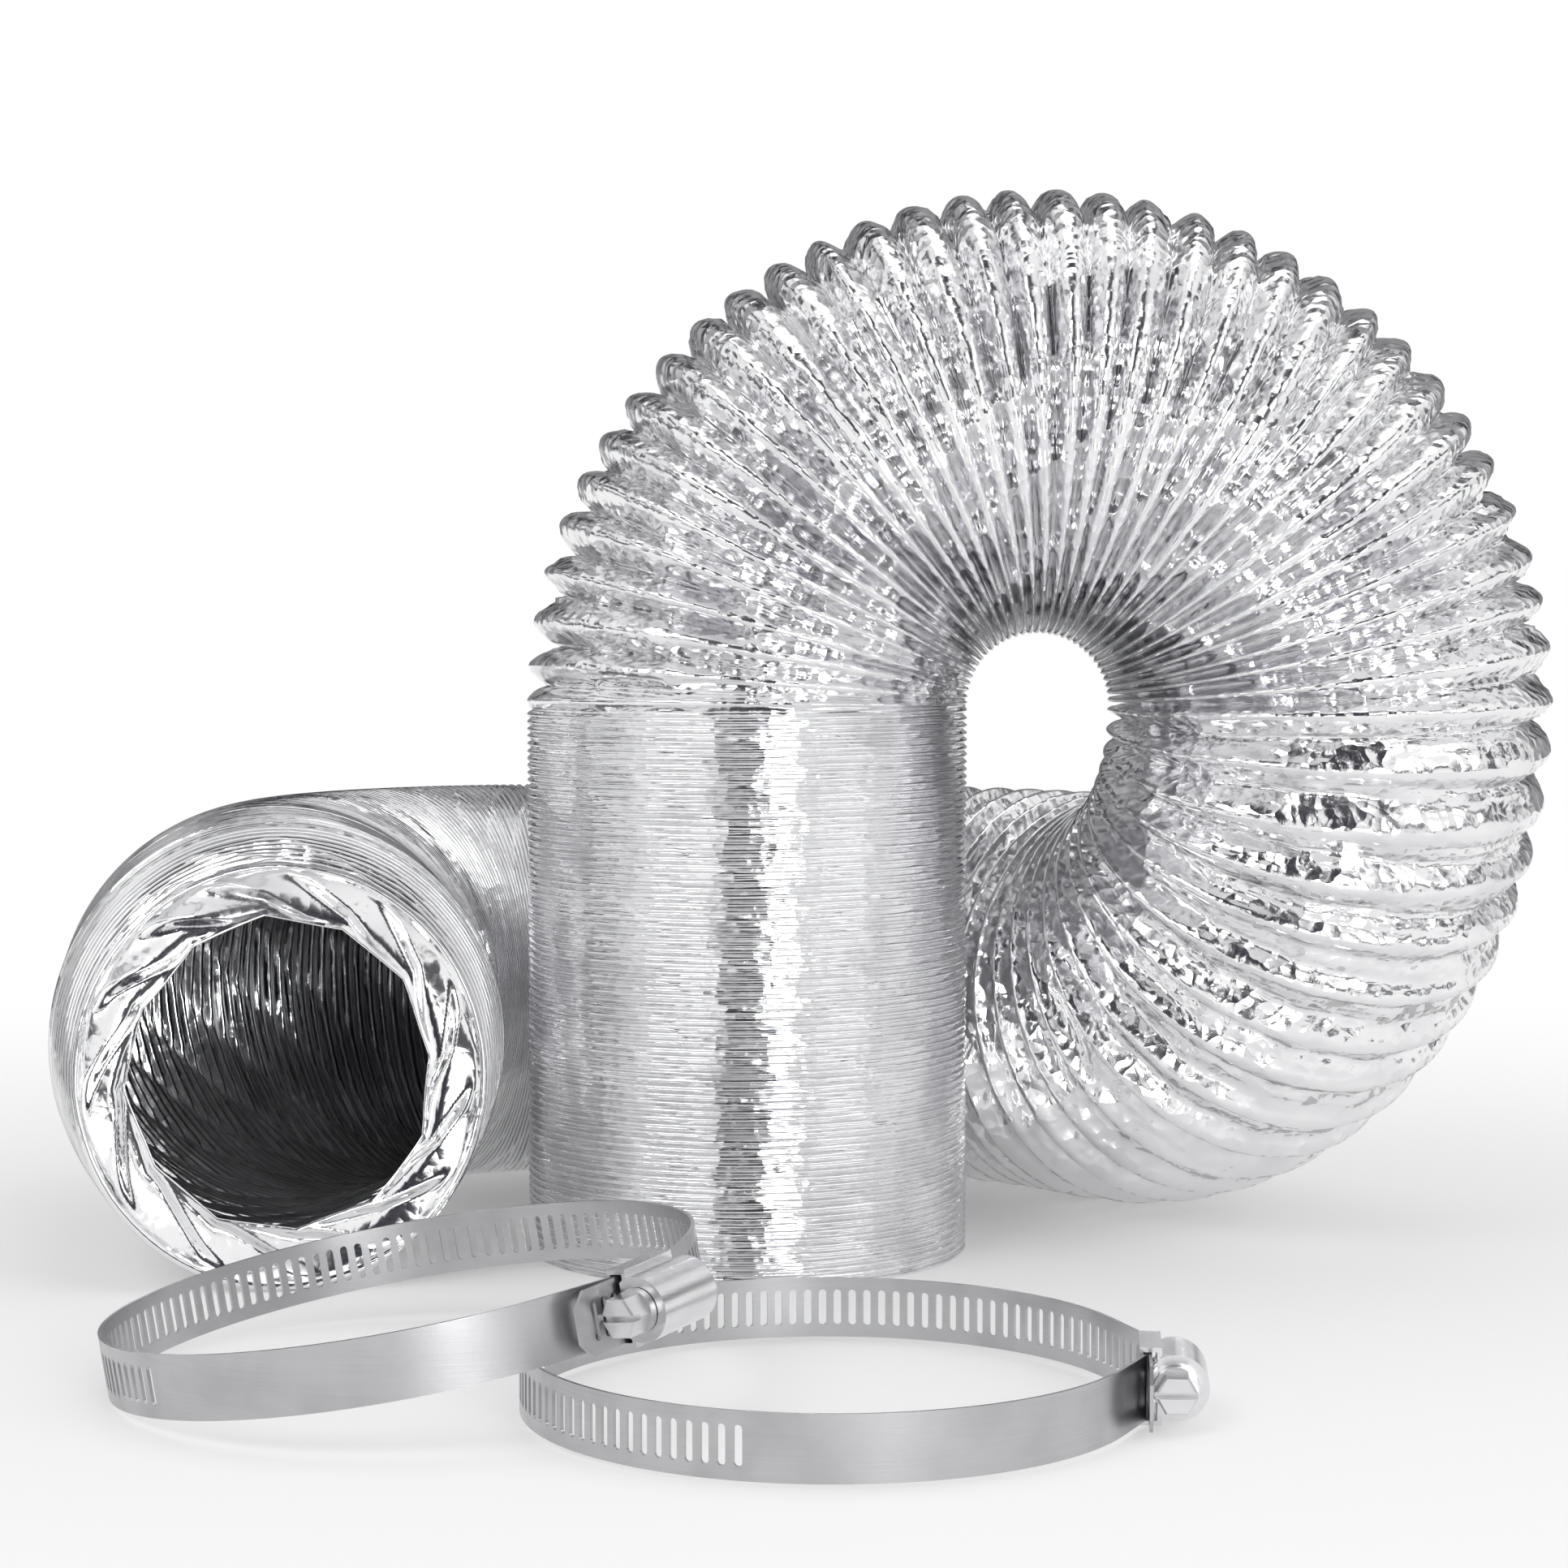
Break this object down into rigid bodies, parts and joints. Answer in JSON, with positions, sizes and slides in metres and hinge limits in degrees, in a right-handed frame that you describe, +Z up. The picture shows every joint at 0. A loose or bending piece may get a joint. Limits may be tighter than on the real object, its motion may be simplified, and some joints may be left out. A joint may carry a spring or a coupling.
{
  "type": "flexible air duct",
  "caption": "Crinkled foil-and-wire flexible round air duct bent into an upright arch with both ends open, with loose worm-drive band clamps lying before it.",
  "frame": {"origin": "centre of the standing end's bore, on the floor", "axes": "+Z up along the standing end, +X towards the arch's falling leg, -Y the way the open mouth faces"},
  "size_m": [0.3711, 0.3963, 0.2578],
  "materials": {
    "foil": "bright crinkled foil",
    "spring_wire": "drawn wire",
    "clamp_band": "satin stainless",
    "clamp_housing": "bright stainless",
    "clamp_screw": "bright zinc or stainless"
  },
  "bodies": {
    "duct": {"outer_foil_standing": "foil", "outer_foil_arch_1": "foil", "outer_foil_arch_2": "foil", "outer_foil_arch_3": "foil", "outer_foil_arch_4": "foil", "outer_foil_arch_5": "foil", "outer_foil_arch_6": "foil", "outer_foil_drop_1": "foil", "outer_foil_drop_2": "foil", "outer_foil_drop_3": "foil", "outer_foil_rear_curve_1": "foil", "outer_foil_rear_curve_2": "foil", "outer_foil_rear_run": "foil", "outer_foil_bend": "foil", "inner_foil_standing": "foil", "inner_foil_arch": "foil", "inner_foil_drop": "foil", "inner_foil_rear_curve": "foil", "inner_foil_rear_run": "foil", "inner_foil_bend": "foil", "spring_wire_standing": "spring_wire", "spring_wire_arch": "spring_wire", "spring_wire_drop": "spring_wire", "spring_wire_rear_curve": "spring_wire", "spring_wire_rear_run": "spring_wire", "spring_wire_bend": "spring_wire"},
    "neck": {"outer_foil_neck": "foil", "outer_foil_bellows": "foil", "inner_foil_neck": "foil", "inner_foil_bellows": "foil", "spring_wire_neck": "spring_wire", "spring_wire_bellows": "spring_wire"},
    "mouth": {"outer_foil_mouth": "foil", "inner_foil_mouth": "foil", "spring_wire_mouth": "spring_wire"},
    "right_clamp": {"right_band_loop": "clamp_band", "right_saddle": "clamp_band", "right_rivets": "clamp_band", "right_housing": "clamp_housing"},
    "right_screw": {"right_worm_screw": "clamp_screw"},
    "right_tail": {"right_band_tail": "clamp_band"},
    "left_clamp": {"left_band_loop": "clamp_band", "left_saddle": "clamp_band", "left_rivets": "clamp_band", "left_housing": "clamp_housing"},
    "left_screw": {"left_worm_screw": "clamp_screw"},
    "left_tail": {"left_band_tail": "clamp_band"}
  },
  "joints": [
    {"name": "mouth_swing", "type": "hinge", "parent": "duct", "child": "neck", "pos_m": [-0.14567, 0.12029, 0.0538], "axis": [0, 0, -1], "range_deg": [0, 25], "deforming": ["outer_foil_bend", "inner_foil_bend", "spring_wire_bend"]},
    {"name": "mouth_stretch", "type": "slide", "parent": "neck", "child": "mouth", "axis": [0.1736, -0.9848, 0], "range_m": [0, 0.025], "deforming": ["outer_foil_bellows", "inner_foil_bellows", "spring_wire_bellows"]},
    {"name": "right_clamp_lift", "type": "slide", "parent": "duct", "child": "right_clamp", "axis": [0, 0, 1], "range_m": [0, 0.15]},
    {"name": "left_clamp_lift", "type": "slide", "parent": "right_clamp", "child": "left_clamp", "axis": [0, 0, 1], "range_m": [0, 0.15]},
    {"name": "right_screw_turn", "type": "hinge", "parent": "right_clamp", "child": "right_screw", "pos_m": [0.08494, -0.17586, 0.00755], "axis": [0.0872, 0.9962, 0], "range_deg": [-725, 1450]},
    {"name": "right_tail_feed", "type": "slide", "parent": "right_clamp", "child": "right_tail", "axis": [-0.0872, -0.9962, 0], "range_m": [-0.00635, 0.0127], "deforming": ["right_band_loop"]},
    {"name": "left_screw_turn", "type": "hinge", "parent": "left_clamp", "child": "left_screw", "pos_m": [-0.0137, -0.18554, 0.02524], "axis": [0.5658, 0.8192, 0.094], "range_deg": [-725, 1450]},
    {"name": "left_tail_feed", "type": "slide", "parent": "left_clamp", "child": "left_tail", "axis": [-0.5658, -0.8192, -0.094], "range_m": [-0.00635, 0.0127], "deforming": ["left_band_loop"]}
  ],
  "couplings": [
    {"joint": "right_screw_turn", "follows": "right_tail_feed", "rad_per_m": 1979},
    {"joint": "left_screw_turn", "follows": "left_tail_feed", "rad_per_m": 1979}
  ]
}
